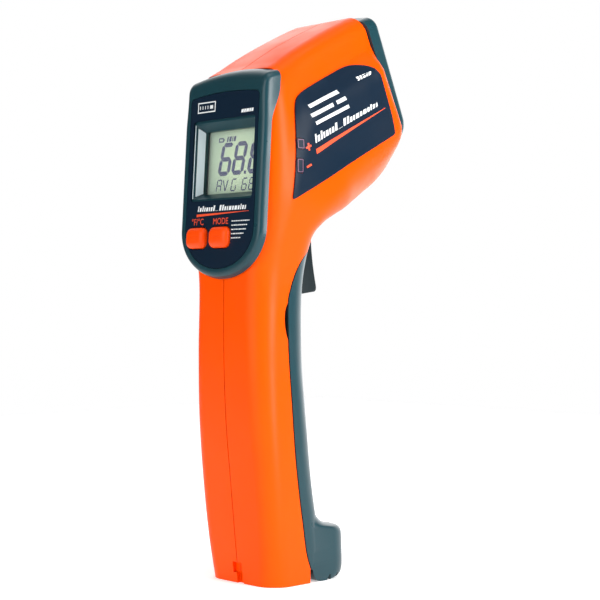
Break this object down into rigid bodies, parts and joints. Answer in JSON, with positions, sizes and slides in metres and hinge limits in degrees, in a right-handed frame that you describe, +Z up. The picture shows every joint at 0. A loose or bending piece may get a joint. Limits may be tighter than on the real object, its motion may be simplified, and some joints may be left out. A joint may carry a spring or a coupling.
{
  "type": "infrared thermometer",
  "caption": "Pistol-grip infrared thermometer: pitched head with nose lens, leaning rear display panel with two keys, trigger, and a battery door with a foot on the handle.",
  "frame": {"origin": "on the surface that the handle stands on, under the middle of the bounding box", "axes": "+Z up the handle, +Y the way the lens points, +X the device's right-hand side; the device is symmetric about X = 0 apart from its keys and screws"},
  "size_m": [0.0484, 0.0694, 0.1807],
  "materials": {
    "orange_shell": "satin moulded ABS",
    "orange_key": "satin silicone-coated key",
    "slate_grip": "fine satin moulding",
    "dark_trigger": "satin",
    "navy_film": "printed polyester film",
    "clear_window": "polished acrylic",
    "liquid_crystal": "reflective display",
    "circuit_board": "solder mask",
    "black_plastic": "fine matt moulding",
    "grey_rubber": "matt silicone",
    "milky_lens": "grooved polyethylene",
    "bright_steel": "bright zinc plate",
    "laser_brass": "turned",
    "cell_jacket": "printed steel jacket",
    "red_wire": "PVC insulation"
  },
  "bodies": {
    "housing": {"shell_right": "orange_shell", "shell_left": "orange_shell", "side_label_right": "navy_film", "side_label_left": "navy_film", "side_key_board": "circuit_board", "rear_bezel": "slate_grip", "rear_label": "navy_film", "display_window": "clear_window", "lcd_panel": "liquid_crystal", "keypad_membrane": "grey_rubber", "main_board": "circuit_board", "buzzer": "black_plastic", "nose_ring": "slate_grip", "ir_lens": "milky_lens", "lens_tube": "black_plastic", "ir_sensor": "bright_steel", "sensor_board": "circuit_board", "laser_module": "laser_brass", "laser_window": "clear_window", "trigger_pin": "bright_steel", "trigger_spring": "bright_steel", "microswitch": "black_plastic", "door_hinge_pin": "bright_steel", "battery": "cell_jacket", "battery_snap": "black_plastic", "battery_lead_red": "red_wire", "battery_lead_black": "black_plastic", "shell_screw_1": "bright_steel", "shell_screw_2": "bright_steel", "shell_screw_3": "bright_steel", "shell_screw_4": "bright_steel"},
    "trigger": {"trigger": "dark_trigger"},
    "units_key": {"units_button": "orange_key"},
    "mode_key": {"mode_button": "orange_key"},
    "plus_side_key": {"plus_key": "navy_film"},
    "minus_side_key": {"minus_key": "navy_film"},
    "door": {"battery_door": "slate_grip"}
  },
  "joints": [
    {"name": "trigger_pull", "type": "hinge", "parent": "housing", "child": "trigger", "pos_m": [0, 0.00017, 0.119], "axis": [-1, 0, 0], "range_deg": [0, 7], "stiffness_Nm_per_rad": 0.35, "springref_deg": -3.44},
    {"name": "units_press", "type": "slide", "parent": "housing", "child": "units_key", "axis": [0, 0.9981, -0.0619], "range_m": [0, 0.0009], "stiffness_N_per_m": 1200, "springref_m": -0.0003},
    {"name": "mode_press", "type": "slide", "parent": "housing", "child": "mode_key", "axis": [0, 0.9981, -0.0619], "range_m": [0, 0.0009], "stiffness_N_per_m": 1200, "springref_m": -0.0003},
    {"name": "plus_press", "type": "slide", "parent": "housing", "child": "plus_side_key", "axis": [-1, 0, 0], "range_m": [0, 0.0004], "stiffness_N_per_m": 2500, "springref_m": -0.0002},
    {"name": "minus_press", "type": "slide", "parent": "housing", "child": "minus_side_key", "axis": [-1, 0, 0], "range_m": [0, 0.0004], "stiffness_N_per_m": 2500, "springref_m": -0.0002},
    {"name": "door_swing", "type": "hinge", "parent": "housing", "child": "door", "pos_m": [0, -0.00333, 0.0046], "axis": [-1, 0, 0], "range_deg": [0, 65]}
  ]
}
